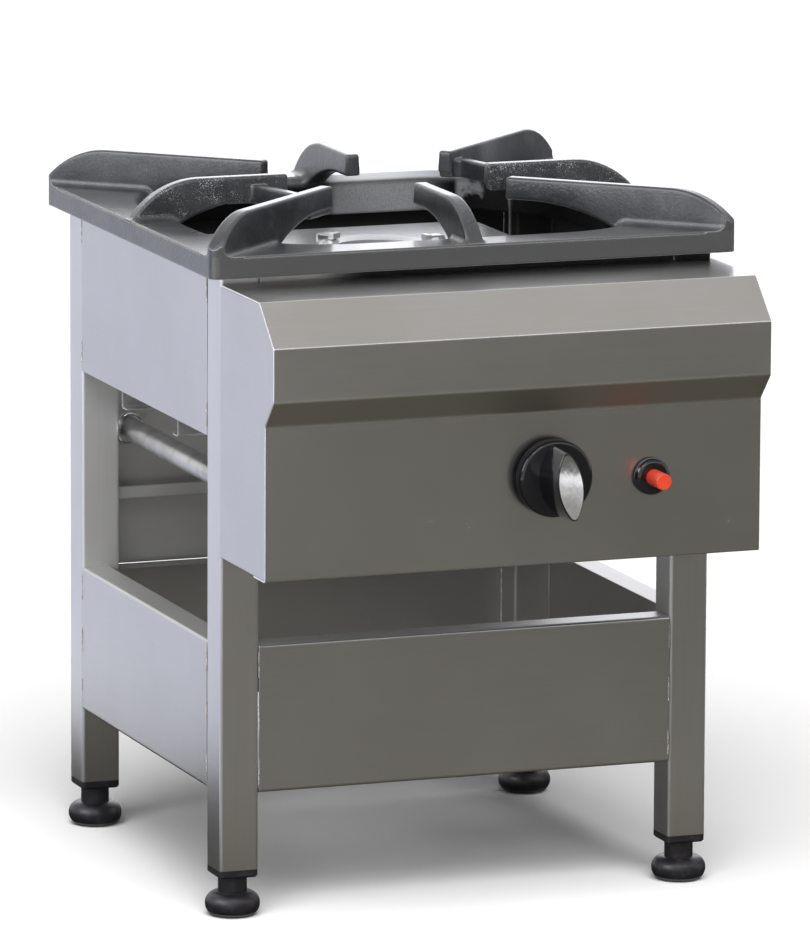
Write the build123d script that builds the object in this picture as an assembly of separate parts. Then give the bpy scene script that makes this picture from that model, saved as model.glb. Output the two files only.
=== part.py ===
from build123d import *
import os
from math import atan2, cos, degrees, hypot, radians, sin

# Floor gas stove: a square-tube stand, folded sheet skins, a control box in front,
# one round burner under a lift-off cast pan support. Millimetres, +Z up, floor at Z = 0,
# +Y to the back, origin under the middle of the overall box.

# Fits and gaps
seam = 0.3
running_fit = 0.05
socket_fit = 0.1
loose_fit = 0.5

# Stand
frame_width = 384.0
frame_depth = 350.0
leg_width = 30.0
leg_wall = 1.5
leg_corner = 2.5
leg_inner_corner = 1.0
leg_length = 443.0

# Levelling feet
foot_cap_height = 6.0
foot_cap_edge = 1.6
foot_plug_depth = 20.0
foot_neck_radius = 10.7
foot_neck_height = 12.0
foot_base_radius = 20.3
foot_base_height = 18.0
foot_base_round = 8.6
foot_stem_radius = 5.0
foot_stem_length = 36.0

# Sheet metal
sheet = 1.2
bend = 1.8
apron_clearance = 57.4
apron_height = 110.6
apron_top_flange = 20.5
apron_bottom_flange = 12.0
rear_apron_drop = 4.6
side_panel_height = 122.5
rear_rib_drop = 226.5
rear_rib = 20.0
rear_rib_lip = 10.0
ledge = 9.0
front_rail_height = 40.0

# Control box outline, depths measured forward from the front face of the legs
box_top_drop = 6.5
box_reach = 98.0
hood_reach = 116.0
hood_top_reach = 85.0
box_height = 202.5
hood_shoulder_drop = 29.0
hood_face_height = 40.0
hood_chin_height = 19.5
box_bend = 2.4
box_return = 25.0
cheek_flange = 22.0
cheek_screw_radius = 2.5
cheek_screw_head_radius = 4.6
cheek_screw_head = 2.6
cheek_screw_inset = 28.0
cheek_screw_length = 9.0

# Pan support
pan_side_overhang = 13.0
pan_front_overhang = 18.0
pan_rear_overhang = 16.0
pan_rim_height = 16.0
pan_rim_width = 37.0
pan_corner = 7.0
pan_opening_corner = 92.0
pan_opening_round = 7.0
pan_edge_break = 1.3
pan_plate = 8.0
pan_skirt = 10.0
pan_collar = 6.0
pan_collar_drop = 14.0
fin_rise = 28.7
fin_half_top = 5.0
fin_half_foot = 7.5
fin_foot_round = 5.0
fin_edge_round = 2.0
fin_tip_height = 16.5
fin_tip_flat = 18.0
fin_back_run = 53.0
fin_root_inset = 3.0
corner_fin_overrun = 1.0
side_fin_tip_radius = 80.0
front_fin_tip_radius = 72.5
corner_fin_tip_radius = 98.5
bridge_mid_radius = 105.0
bridge_corner_radius = 117.0
bridge_width = 9.0
bridge_drop = 6.5
bridge_height = 14.0
bridge_flare = 4.5

# Burner
burner_x = -6.0
burner_y = 174.5
crown_gap = 1.5
crown_height = 14.0
crown_sink = 4.8
crown_wall = 5.0
crown_round = 2.5
crown_port_radius = 1.4
crown_port_count = 24
crown_port_inset = 6.5
crown_spigot_inset = 11.5
crown_spigot_wall = 3.0
crown_spigot_depth = 5.0
cup_height = 8.0
cup_slope_height = 8.0
neck_inset = 9.5
neck_height = 33.0
burner_wall = 4.0
mixing_tube_radius = 15.0
mixing_tube_wall = 3.0
mixing_tube_height = 19.0
mixing_tube_setback = 30.0
air_slot_width = 10.0
air_slot_length = 14.0
air_slot_setback = 8.0
shutter_wall = 3.0
shutter_length = 26.0
shutter_setback = 1.0
pedestal_radius = 14.0
pedestal_bolt_radius = 4.0
pedestal_bolt_length = 18.0
pedestal_bolt_head_radius = 6.5
pedestal_bolt_head = 5.0
support_width = 130.0
support_height = 55.0
support_drop = 15.5
support_flange = 12.0
support_saddle = 90.0
support_notch = 3.6

# Burner plate and the straps that carry it
plate_width = 220.0
plate_depth = 174.0
plate_sink = 12.7
plate_edge = 10.0
plate_corner = 8.0
plate_hole_radius = 42.5
ring_lap = 3.5
ring_inside = 10.5
ring_edge = 1.0
ring_height = 0.6
ring_dip = 1.4
ring_collar = 4.5
clip_inset = 8.0
clip_length = 15.0
clip_width = 9.0
clip_height = 4.4
clip_sheet = 1.6
clip_lug = 4.5
clip_turn = 5.0
strap_width = 20.0
strap_spread = 80.0
strap_overlap = 30.0

# Flame sensor and spark electrode
sensor_x = 87.0
sensor_y = 141.0
sensor_radius = 1.2
sensor_tip_radius = 2.2
sensor_tip_height = 11.0
sensor_above_plate = 37.7
sensor_below_plate = 28.0
electrode_beyond_ring = 6.0
electrode_ahead = 30.0
electrode_ceramic_radius = 3.4
electrode_ceramic_above = 3.0
electrode_ceramic_below = 14.0
electrode_wire_radius = 1.0
electrode_wire_length = 3.0
bracket_length = 20.0
bracket_width = 12.0
bracket_sheet = 1.5
probe_hole_radius = 4.5
lead_radius = 1.5
lead_bend = 9.0

# Gas line
pipe_radius = 9.0
pipe_wall = 1.6
pipe_inset = 43.0
manifold_reach = 55.0
manifold_drop = 28.5
manifold_overrun = 34.0
elbow_radius = 13.0
elbow_socket = 14.0
manifold_plug_radius = 12.0
manifold_plug_length = 10.0
union_radius = 12.5
union_length = 15.0
union_socket = 10.0
union_round = 2.6
inlet_thread_radius = 10.48
inlet_thread_length = 15.5
inlet_relief = 1.0
inlet_relief_depth = 0.8
locknut_across = 30.0
locknut_thickness = 5.0
feed_radius = 4.0
feed_bend = 16.0
feed_nut_across = 15.0
feed_nut_length = 11.0
injector_block = 18.0
injector_block_depth = 20.0
injector_radius = 4.0
injector_length = 9.0
injector_hex_across = 11.0
injector_hex_length = 4.0
injector_bracket_width = 36.0
injector_bracket_drop = 60.0

# Gas valve and knob
knob_x = 27.0
knob_rise = 65.5
valve_radius = 15.0
valve_front_gap = 12.0
valve_length = 50.0
valve_collar_radius = 9.0
valve_stub_radius = 5.0
valve_stub_depth = 1.2
valve_outlet_radius = 6.5
valve_outlet_length = 9.0
spindle_radius = 4.0
spindle_flat = 1.0
spindle_hole_radius = 7.0
spindle_depth = 14.0
push_rod_radius = 2.0
push_rod_length = 16.0
knob_push = 4.0
knob_panel_gap = 4.6
knob_skirt_radius = 28.5
knob_skirt = 9.5
knob_skirt_round = 3.2
knob_grip_width = 20.0
knob_grip_height = 54.5
knob_grip_foot_width = 29.0
knob_grip_foot_height = 55.0
knob_grip_drop = 1.2
knob_rest_turn = 8.0
knob_grip_depth = 27.5
knob_grip_point = 3.0
knob_grip_round = 0.8
knob_socket_depth = 20.0
insert_margin = 1.0
insert_depth = 2.0
insert_proud = 0.4

# Piezo igniter
igniter_x = 105.5
igniter_rise = 61.0
igniter_bezel_radius = 13.8
igniter_bezel = 7.0
igniter_bezel_round = 4.5
igniter_body_radius = 10.0
igniter_body_length = 46.0
igniter_nut_across = 27.0
igniter_nut = 6.0
igniter_button_radius = 6.0
igniter_button_reach = 20.5
igniter_button_round = 1.2
igniter_button_inside = 18.0
igniter_push = 8.0

# Places worked out from the sizes above
foot_height = foot_base_height + foot_neck_height + foot_cap_height
frame_top = foot_height + leg_length
knob_reach = box_reach + knob_panel_gap + knob_skirt + knob_grip_depth + insert_proud
rear_reach = frame_depth + pan_rear_overhang
leg_front = (knob_reach - rear_reach) / 2
leg_back = leg_front + frame_depth
half_width = frame_width / 2
between_legs_x = frame_width - 2 * leg_width
apron_bottom = foot_height + apron_clearance
apron_top = apron_bottom + apron_height
rear_apron_top = apron_top - rear_apron_drop
box_top = frame_top - box_top_drop
box_bottom = box_top - box_height
panel_face = leg_front - box_reach
panel_back = panel_face + sheet
hood_shoulder = box_top - hood_shoulder_drop
hood_chin = hood_shoulder - hood_face_height
box_crease = hood_chin - hood_chin_height
knob_height = box_bottom + knob_rise
igniter_height = box_bottom + igniter_rise
pipe_height = knob_height - manifold_drop
pipe_x = pipe_inset - half_width
pan_width = frame_width + 2 * pan_side_overhang
pan_depth = frame_depth + pan_front_overhang + pan_rear_overhang
pan_mid_y = leg_front + (frame_depth + pan_rear_overhang - pan_front_overhang) / 2
pan_rim_top = frame_top + pan_rim_height
fin_top = pan_rim_top + fin_rise
burner_place_y = leg_front + burner_y
plate_top = frame_top - plate_sink
plate_bottom = plate_top - sheet
ring_radius = plate_hole_radius + ring_lap
ring_bore = plate_hole_radius - ring_inside
crown_radius = ring_bore - crown_gap
crown_spigot_radius = crown_radius - crown_spigot_inset
neck_radius = crown_radius - neck_inset
crown_top = plate_top - crown_sink
cup_top = crown_top - crown_height
cup_bottom = cup_top - cup_height
neck_top = cup_bottom - cup_slope_height
neck_bottom = neck_top - neck_height
mixing_tube_z = neck_bottom + mixing_tube_height
mixing_mouth_y = leg_front + mixing_tube_setback
support_bottom = frame_top - side_panel_height - support_drop
support_floor = support_bottom + sheet
manifold_y = leg_front - manifold_reach
valve_front = panel_back + valve_front_gap
valve_back = valve_front + valve_length
injector_front = leg_front + sheet + bracket_sheet
injector_back = injector_front + injector_block_depth
feed_y = injector_front + injector_block_depth / 2
valve_outlet_end = valve_back + valve_outlet_length
electrode_x = burner_x + ring_radius + electrode_beyond_ring
electrode_place_y = burner_place_y - electrode_ahead
sensor_place_y = leg_front + sensor_y
knob_skirt_back = panel_face - knob_panel_gap
knob_skirt_front = knob_skirt_back - knob_skirt
knob_grip_front = knob_skirt_front - knob_grip_depth
spindle_back = valve_front + spindle_depth
bezel_front = panel_face - igniter_bezel

os.makedirs("parts", exist_ok=True)


def save(name, *solids):
    """Writes one piece, or one group of like pieces, to its own file."""
    shape = solids[0] if len(solids) == 1 else Compound(children=list(solids))
    export_step(shape, f"parts/{name}.step")


def cylinder_y(radius, start, stop, x=0.0, z=0.0):
    """A round bar along Y from start to stop."""
    middle = Pos(x, (start + stop) / 2, z) * Rot(90, 0, 0)
    return middle * Cylinder(radius, abs(stop - start))


def cylinder_x(radius, start, stop, y=0.0, z=0.0):
    """A round bar along X from start to stop."""
    middle = Pos((start + stop) / 2, y, z) * Rot(0, 90, 0)
    return middle * Cylinder(radius, abs(stop - start))


def cylinder_z(radius, start, stop, x=0.0, y=0.0):
    """A round bar along Z from start to stop."""
    return Pos(x, y, (start + stop) / 2) * Cylinder(radius, abs(stop - start))


def block(x_span, y_span, z_span):
    """A square block between two corners."""
    sizes = [abs(high - low) for low, high in (x_span, y_span, z_span)]
    middle = [(low + high) / 2 for low, high in (x_span, y_span, z_span)]
    return Pos(*middle) * Box(*sizes)


def folded_section(points, thickness=sheet, inside=bend):
    """The section of a folded sheet whose middle line runs through the points."""
    return trace(FilletPolyline(*points, radius=inside), line_width=thickness)


def run_along_x(section, start, stop):
    """A Y-Z section drawn out along X."""
    return extrude(Plane.YZ.offset(start) * section, amount=stop - start)


def run_along_y(section, start, stop):
    """An X-Z section drawn out along Y."""
    return extrude(Plane.XZ.offset(-stop) * section, amount=stop - start)


def tube_along(points, radius, corner):
    """A round tube or lead along straight runs joined by arcs."""
    path = FilletPolyline(*points, radius=corner)
    start = Plane(origin=path @ 0, z_dir=path % 0)
    return sweep(start * Circle(radius), path=path)


def make_legs():
    """Four square tubes, the front pair drilled for the cheek screws."""
    outer = RectangleRounded(leg_width, leg_width, leg_corner)
    hollow = leg_width - 2 * leg_wall
    tube = extrude(outer - RectangleRounded(hollow, hollow, leg_inner_corner), leg_length)
    for name, (x, y) in leg_places().items():
        leg = Pos(x, y, foot_height) * tube
        if y < pan_mid_y:
            for z in cheek_screw_heights():
                leg -= cylinder_y(cheek_screw_radius + socket_fit, leg_front - 1,
                                  leg_front + leg_wall + 1, x, z)
        save(f"leg_{name}", leg)


def leg_places():
    """The middle of each leg in plan."""
    x = (frame_width - leg_width) / 2
    front = leg_front + leg_width / 2
    back = leg_back - leg_width / 2
    return {
        "front_left": (-x, front),
        "front_right": (x, front),
        "rear_left": (-x, back),
        "rear_right": (x, back),
    }


def cheek_screw_heights():
    """The two heights of the screws that hold each cheek to its leg."""
    return (box_bottom + cheek_screw_inset, box_top - cheek_screw_inset)


def make_feet():
    """A plastic end cap in each leg, and a screw-in foot below it."""
    plug = leg_width - 2 * leg_wall - 2 * socket_fit
    cap = extrude(RectangleRounded(leg_width, leg_width, leg_corner), foot_cap_height)
    cap = chamfer(cap.faces().sort_by(Axis.Z)[0].edges(), foot_cap_edge)
    cap = Pos(0, 0, foot_height - foot_cap_height) * cap
    stub = extrude(RectangleRounded(plug, plug, leg_inner_corner), foot_plug_depth)
    cap += Pos(0, 0, foot_height) * stub
    cap -= cylinder_z(foot_stem_radius + running_fit, 0, frame_top)

    base = cylinder_z(foot_base_radius, 0, foot_base_height)
    base = fillet(base.edges().filter_by(GeomType.CIRCLE),
                  min(foot_base_round, 0.48 * foot_base_height))
    neck_top_z = foot_base_height + foot_neck_height
    foot = base + cylinder_z(foot_neck_radius, foot_base_height - 1, neck_top_z)
    foot += cylinder_z(foot_stem_radius, neck_top_z - 1, neck_top_z + foot_stem_length)
    for name, (x, y) in leg_places().items():
        save(f"foot_cap_{name}", Pos(x, y, 0) * cap)
        save(f"foot_{name}", Pos(x, y, 0) * foot)


def make_aprons():
    """Lower skins between the legs, with flanges turned in at the top and bottom."""
    low = apron_bottom + sheet / 2
    high = apron_top - sheet / 2
    rear_high = rear_apron_top - sheet / 2
    x_out = half_width - sheet / 2
    for name, side in (("left", -1), ("right", 1)):
        points = [
            (side * (x_out - apron_bottom_flange), low),
            (side * x_out, low),
            (side * x_out, high),
            (side * (x_out - apron_top_flange), high),
        ]
        section = folded_section(points)
        save(f"apron_{name}", run_along_y(section, leg_front + leg_width + seam,
                                          leg_back - leg_width - seam))
    ends = (
        ("front", leg_front + sheet / 2, 1, high),
        ("rear", leg_back - sheet / 2, -1, rear_high),
    )
    for name, y_out, inward, top in ends:
        points = [
            (y_out + inward * apron_bottom_flange, low),
            (y_out, low),
            (y_out, top),
            (y_out + inward * apron_top_flange, top),
        ]
        half_run = between_legs_x / 2 - seam
        save(f"apron_{name}", run_along_x(folded_section(points), -half_run, half_run))


def make_upper_skins():
    """Side panels, rear panel with a stiffening rib, and front rail, each turned in at the top."""
    high = frame_top - sheet / 2
    x_out = half_width - sheet / 2
    for name, side in (("left", -1), ("right", 1)):
        points = [
            (side * x_out, frame_top - side_panel_height),
            (side * x_out, high),
            (side * (half_width - ledge), high),
        ]
        save(f"side_panel_{name}", run_along_y(folded_section(points), leg_front + leg_width + seam,
                                               leg_back - leg_width - seam))
    half_run = between_legs_x / 2 - seam
    y_out = leg_back - sheet / 2
    points = [
        (leg_back - ledge, high),
        (y_out, high),
        (y_out, rear_apron_top + seam),
    ]
    rear = run_along_x(folded_section(points), -half_run, half_run)
    low = frame_top - rear_rib_drop + sheet / 2
    points = [
        (y_out, low),
        (y_out - rear_rib, low),
        (y_out - rear_rib, low + rear_rib_lip),
    ]
    rear += run_along_x(folded_section(points), -half_run, half_run)
    rear -= cylinder_y(inlet_thread_radius + loose_fit, leg_back - 2 * sheet, leg_back + 1,
                       pipe_x, pipe_height)
    save("rear_panel", rear)
    points = [
        (leg_front + sheet / 2, frame_top - front_rail_height),
        (leg_front + sheet / 2, high),
        (leg_front + ledge, high),
    ]
    save("front_rail", run_along_x(folded_section(points), -half_run, half_run))


def box_outline(back):
    """The outline of the control box seen from the side, ending at depth back."""
    points = [
        (back, box_top),
        (leg_front - hood_top_reach, box_top),
        (leg_front - hood_reach, hood_shoulder),
        (leg_front - hood_reach, hood_chin),
        (panel_face, box_crease),
        (panel_face, box_bottom),
        (back, box_bottom),
    ]
    outline = make_face(Polyline(*points, close=True))
    bends = [v for v in outline.vertices() if v.X < back - sheet]
    return fillet(bends, box_bend)


def make_control_box():
    """The folded front of the control box and its two cheeks."""
    outline = box_outline(leg_front + box_return)
    skin = outline - offset(outline, -sheet)
    gap_low = box_bottom - 1
    gap_high = box_top - sheet
    gap_front = panel_face + box_return
    gap = Pos((gap_front + leg_front + 2 * box_return) / 2, (gap_low + gap_high) / 2)
    skin -= gap * Rectangle(leg_front + 2 * box_return - gap_front, gap_high - gap_low)
    beyond = Pos(leg_front + box_return, box_top)
    skin -= beyond * Rectangle(2 * box_return, 4 * sheet)
    front = run_along_x(skin, -half_width, half_width)
    front -= cylinder_y(spindle_hole_radius, panel_face - 1, panel_back + 1, knob_x, knob_height)
    front -= cylinder_y(igniter_body_radius + socket_fit, panel_face - 1, panel_back + 1,
                        igniter_x, igniter_height)
    save("control_box_front", front)

    plate = offset(box_outline(leg_front + box_return), -(sheet + seam))
    plate -= Pos(leg_front + box_return, (box_top + box_bottom) / 2) * Rectangle(
        2 * box_return, 2 * box_height)
    flange_low = box_bottom + sheet + seam
    flange_high = box_top - sheet - seam
    screws = []
    for name, side in (("left", -1), ("right", 1)):
        faces = sorted((side * half_width, side * (half_width - sheet)))
        cheek = run_along_x(plate, faces[0], faces[1])
        flange = sorted((side * half_width, side * (half_width - cheek_flange)))
        cheek += block(flange, (leg_front - sheet, leg_front), (flange_low, flange_high))
        x = side * (frame_width - leg_width) / 2
        for z in cheek_screw_heights():
            cheek -= cylinder_y(cheek_screw_radius + socket_fit, leg_front - 2 * sheet,
                                leg_front + 1, x, z)
            head_back = leg_front - sheet
            screw = cylinder_y(cheek_screw_head_radius, head_back - cheek_screw_head, head_back, x, z)
            screw = fillet(screw.faces().sort_by(Axis.Y)[0].edges(), 0.6 * cheek_screw_head)
            screw += cylinder_y(cheek_screw_radius, head_back - 0.5, head_back + cheek_screw_length, x, z)
            screws.append(screw)
        save(f"control_box_cheek_{name}", cheek)
    save("cheek_screws", *screws)


def fin_blade(tip, opening, root):
    """One upright fin along +X, from its tip to its root on the rim."""
    tip_low = fin_top - fin_tip_height
    seat = pan_rim_top - pan_plate
    under_start = (tip + fin_tip_flat, tip_low)
    under_end = (opening + pan_collar / 2, seat)
    back_start = (root - fin_back_run, fin_top)
    back_end = (root, pan_rim_top)
    outline = Polyline(under_end, (root, seat), back_end)
    outline += TangentArc(back_start, back_end, tangent=(1, 0))
    outline += Polyline(back_start, (tip, fin_top), (tip, tip_low), under_start)
    outline += TangentArc(under_start, under_end, tangent=(1, 0))
    blade = extrude(Plane.XZ * make_face(outline), amount=fin_half_foot, both=True)
    section = Polyline((fin_half_top, fin_top), (fin_half_foot, seat), (-fin_half_foot, seat),
                       (-fin_half_top, fin_top), close=True)
    blade &= extrude(Plane.YZ * make_face(section), amount=root)
    rounded = [e for e in blade.edges() if e.center().Z > tip_low - 0.1 and e.center().X < root - 2]
    return fillet(rounded, fin_edge_round)


def rim_top_edges(casting):
    """Straight level edges on top of the rim, each with its distance from the middle."""
    level = casting.edges().filter_by(GeomType.LINE)
    level = level.filter_by_position(Axis.Z, pan_rim_top - 0.01, pan_rim_top + 0.01)
    found = []
    for edge in level:
        along = edge % 0.5
        middle = edge.center()
        if abs(along.Z) < 0.1:
            found.append((edge, abs(middle.X * along.Y - middle.Y * along.X)))
    return found


def make_pan_support():
    """Cast frame with a collar round its opening, eight fins and two webs between fins."""
    outer = RectangleRounded(pan_width, pan_depth, pan_corner)
    opening_x = pan_width / 2 - pan_rim_width
    opening_y = pan_depth / 2 - pan_rim_width
    opening = RectangleRounded(2 * opening_x, 2 * opening_y, pan_opening_corner)
    collar = offset(opening, pan_collar)
    plate = extrude(outer - opening, pan_rim_height)
    plate = fillet(plate.faces().sort_by(Axis.Z)[-1].inner_wires()[0].edges(), pan_opening_round)
    plate -= extrude(offset(outer, -pan_skirt) - collar - pan_pads(), pan_rim_height - pan_plate)
    plate += Pos(0, 0, -pan_collar_drop) * extrude(collar - opening, pan_collar_drop)
    casting = Pos(0, 0, frame_top) * plate

    corner_angle = degrees(atan2(pan_depth, pan_width))
    corner_root = hypot(pan_width, pan_depth) / 2 + corner_fin_overrun
    corner_edge = pan_opening_corner + hypot(opening_x - pan_opening_corner, opening_y - pan_opening_corner)
    column = Pos(0, 0, frame_top) * extrude(outer, fin_top - frame_top)
    blades = (
        (0, side_fin_tip_radius, opening_x, pan_width / 2 - fin_root_inset),
        (90, front_fin_tip_radius, opening_y, pan_depth / 2 - fin_root_inset),
        (corner_angle, corner_fin_tip_radius, corner_edge, corner_root),
        (180 - corner_angle, corner_fin_tip_radius, corner_edge, corner_root),
    )
    for angle, tip, edge, root in blades:
        blade = fin_blade(tip, edge, root)
        for turn in (angle, angle + 180):
            casting += (Rot(0, 0, turn) * blade) & column
    feet = [edge for edge, off in rim_top_edges(casting) if off < fin_half_foot]
    casting = fillet(feet, fin_foot_round)
    casting -= rim_shaving(outer)

    web = Pos(0, 0, fin_top - bridge_drop - bridge_height) * fin_web(corner_angle)
    for turn in (0, 180):
        casting += Rot(0, 0, turn) * web
    save("pan_support", Pos(0, pan_mid_y, 0) * casting)


def fin_web(corner_angle):
    """A web from the right fin to the corner fin behind it, flared into both."""
    web_x = bridge_corner_radius * cos(radians(corner_angle))
    web_y = bridge_corner_radius * sin(radians(corner_angle))
    run = Vector(web_x - bridge_mid_radius, web_y)
    lean = degrees(atan2(run.Y, run.X))
    plan = Pos((web_x + bridge_mid_radius) / 2, web_y / 2) * Rot(0, 0, lean) * Rectangle(
        run.length, bridge_width)
    side_room = bridge_mid_radius - side_fin_tip_radius - fin_edge_round
    corner_room = bridge_corner_radius - corner_fin_tip_radius - fin_edge_round
    plan += Pos(bridge_mid_radius, 0) * Rectangle(2 * side_room, 2 * fin_half_top)
    plan += Pos(web_x, web_y) * Rot(0, 0, corner_angle) * Rectangle(2 * corner_room, 2 * fin_half_top)
    inner = []
    for x, y in ((bridge_mid_radius, 0), (web_x, web_y)):
        inner += [v for v in plan.vertices() if hypot(v.X - x, v.Y - y) < 1.2 * bridge_width]
    web = extrude(fillet(inner, bridge_flare), bridge_height)
    ends = web.faces().sort_by(Axis.Z)
    return fillet(ends[0].edges() + ends[-1].edges(), fin_edge_round)


def rim_shaving(outer):
    """What is broken off the top outer edge of the rim, clear of the corner fins."""
    broken = extrude(outer, pan_rim_height)
    broken = chamfer(broken.faces().sort_by(Axis.Z)[-1].edges(), pan_edge_break)
    edge_low = pan_rim_height - pan_edge_break
    shaving = Pos(0, 0, edge_low) * extrude(offset(outer, pan_edge_break), pan_edge_break) - broken
    clear = 2 * (fin_half_foot + fin_foot_round)
    for x in (-pan_width / 2, pan_width / 2):
        for y in (-pan_depth / 2, pan_depth / 2):
            shaving -= cylinder_z(clear, 0, 2 * pan_rim_height, x, y)
    return Pos(0, 0, frame_top) * shaving


def pan_pads():
    """The four seats that stand on the tops of the legs, in the plan of the pan support."""
    seats = Sketch()
    for x, y in leg_places().values():
        seats += Pos(x, y - pan_mid_y) * Rectangle(leg_width, leg_width)
    return seats


def revolve_profile(points):
    """A body of revolution about Z from half of its section."""
    return revolve(Plane.XZ * make_face(Polyline(*points, close=True)), Axis.Z)


def make_burner():
    """Cast burner body with its mixing tube, and the loose crown on top."""
    at_burner = Pos(burner_x, burner_place_y, 0)
    inner_low = neck_bottom + burner_wall
    neck_bore = neck_radius - burner_wall
    seat_bore = crown_spigot_radius + loose_fit
    body = revolve_profile([
        (0, neck_bottom),
        (neck_radius, neck_bottom),
        (neck_radius, neck_top),
        (crown_radius, cup_bottom),
        (crown_radius, cup_top),
        (seat_bore, cup_top),
        (seat_bore, cup_bottom),
        (neck_bore, neck_top),
        (neck_bore, inner_low),
        (0, inner_low),
    ])
    body += cylinder_z(pedestal_radius, support_floor, neck_bottom + 1)
    body = at_burner * body
    tube = cylinder_y(mixing_tube_radius, mixing_mouth_y, burner_place_y, burner_x, mixing_tube_z)
    body += tube - at_burner * cylinder_z(neck_bore, inner_low, neck_top)
    bore = mixing_tube_radius - mixing_tube_wall
    body -= cylinder_y(bore, mixing_mouth_y - 1, burner_place_y, burner_x, mixing_tube_z)
    slot_start = mixing_mouth_y + air_slot_setback
    slot = block((-air_slot_width / 2, air_slot_width / 2), (slot_start, slot_start + air_slot_length),
                 (bore / 2, mixing_tube_radius + shutter_wall + 1))
    slots = [Pos(burner_x, 0, mixing_tube_z) * Rot(0, turn, 0) * slot for turn in (0, 90, 180, 270)]
    body -= slots
    body -= at_burner * cylinder_z(pedestal_bolt_radius + socket_fit, support_floor - 1,
                                   support_floor + pedestal_bolt_length)
    save("burner_body", body)

    shutter_start = mixing_mouth_y + shutter_setback
    shutter_end = shutter_start + shutter_length
    fit = mixing_tube_radius + running_fit
    sleeve = cylinder_y(fit + shutter_wall, shutter_start, shutter_end, burner_x, mixing_tube_z)
    sleeve -= cylinder_y(fit, shutter_start - 1, shutter_end + 1, burner_x, mixing_tube_z)
    save("air_shutter", sleeve - slots)

    spigot_bore = crown_spigot_radius - crown_spigot_wall
    skirt_bore = crown_radius - crown_wall
    under = crown_top - crown_wall
    crown = revolve_profile([
        (0, under),
        (spigot_bore, under),
        (spigot_bore, cup_top - crown_spigot_depth),
        (crown_spigot_radius, cup_top - crown_spigot_depth),
        (crown_spigot_radius, under),
        (skirt_bore, under),
        (skirt_bore, cup_top),
        (crown_radius, cup_top),
        (crown_radius, crown_top),
        (0, crown_top),
    ])
    crown = fillet(crown.faces().sort_by(Axis.Z)[-1].edges(), crown_round)
    port = cylinder_z(crown_port_radius, under - 1, crown_top + 1, crown_radius - crown_port_inset)
    window = block((0, skirt_bore - 1), (-spigot_bore / 3, spigot_bore / 3), (cup_top, under - 1))
    ports = [Rot(0, 0, 360 * n / crown_port_count) * port for n in range(crown_port_count)]
    ports += [Rot(0, 0, 60 * n) * window for n in range(6)]
    save("burner_crown", at_burner * (crown - ports))

    bolt = extrude(RegularPolygon(pedestal_bolt_head_radius, 6), pedestal_bolt_head)
    bolt = Pos(0, 0, support_bottom - pedestal_bolt_head) * bolt
    bolt += cylinder_z(pedestal_bolt_radius, support_bottom - 1, support_floor + pedestal_bolt_length - 1)
    save("burner_bolt", at_burner * bolt)


def make_burner_support():
    """Two lipped rails between the side panels, joined by a saddle that carries the burner."""
    half = support_width / 2 - sheet / 2
    top = support_bottom + support_height
    points = [
        (burner_place_y - half, top),
        (burner_place_y - half, support_bottom + sheet / 2),
        (burner_place_y + half, support_bottom + sheet / 2),
        (burner_place_y + half, top),
    ]
    reach = half_width - sheet - seam
    rails = run_along_x(folded_section(points), -reach, reach)
    rails -= Pos(burner_x, burner_place_y, 0) * cylinder_z(
        pedestal_bolt_radius + socket_fit, support_bottom - 1, support_floor + 1)
    lip_inner = support_width / 2 - support_flange
    panel_low = frame_top - side_panel_height
    for side in (-1, 1):
        window = sorted((burner_x + side * support_saddle / 2, side * half_width))
        rails -= block(window, (burner_place_y - lip_inner, burner_place_y + lip_inner),
                       (support_bottom - 1, support_floor + 1))
        notch = sorted((side * (reach - support_notch), side * half_width))
        rails -= block(notch, (burner_place_y - support_width, burner_place_y + support_width),
                       (support_bottom - 1, panel_low + support_notch))
    save("burner_support", rails)


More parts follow.
